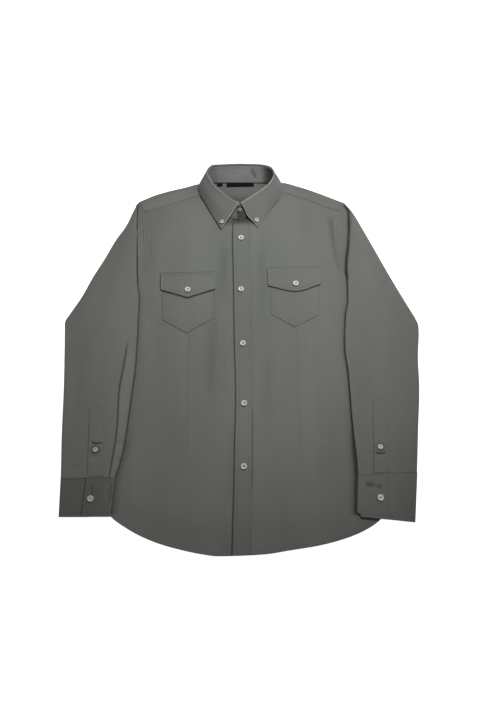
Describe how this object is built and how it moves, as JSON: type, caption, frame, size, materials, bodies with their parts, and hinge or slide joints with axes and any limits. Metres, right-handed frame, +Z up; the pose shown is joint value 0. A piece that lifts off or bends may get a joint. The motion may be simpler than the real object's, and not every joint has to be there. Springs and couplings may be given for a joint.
{
  "type": "button-down shirt laid flat",
  "caption": "Long-sleeved button-down shirt lying flat, front up, with two flap pockets, a buttoned front band, cuffs and a folded collar.",
  "frame": {"origin": "middle of the bounds, on the surface that the shirt lies on", "axes": "+Y from the hem to the collar, +X to the viewer's right (the wearer's left), +Z up out of the front"},
  "size_m": [0.7006, 0.8045, 0.0298],
  "materials": {
    "cloth": "smooth matt cotton in grey-green",
    "collar": "smooth matt cotton in grey-green",
    "label": "black woven tape",
    "button": "pale, softly shining"
  },
  "bodies": {
    "root": {"back": "cloth", "yoke": "cloth", "front_left": "cloth", "front_right": "cloth", "placket": "cloth", "pocket_left": "cloth", "pocket_right": "cloth", "flap_left": "cloth", "flap_right": "cloth", "sleeve_left": "cloth", "sleeve_right": "cloth", "gauntlet_left": "cloth", "gauntlet_right": "cloth", "cuff_left": "cloth", "cuff_right": "cloth", "collar_stand": "collar", "collar_leaf": "collar", "label_neck": "label", "label_size": "label", "button_front_1": "button", "button_front_2": "button", "button_front_3": "button", "button_front_4": "button", "button_front_5": "button", "button_stand": "button", "button_collar_left": "button", "button_collar_right": "button", "button_pocket_left": "button", "button_pocket_right": "button", "button_gauntlet_left": "button", "button_gauntlet_right": "button", "button_cuff_left": "button", "button_cuff_right": "button"}
  },
  "joints": []
}
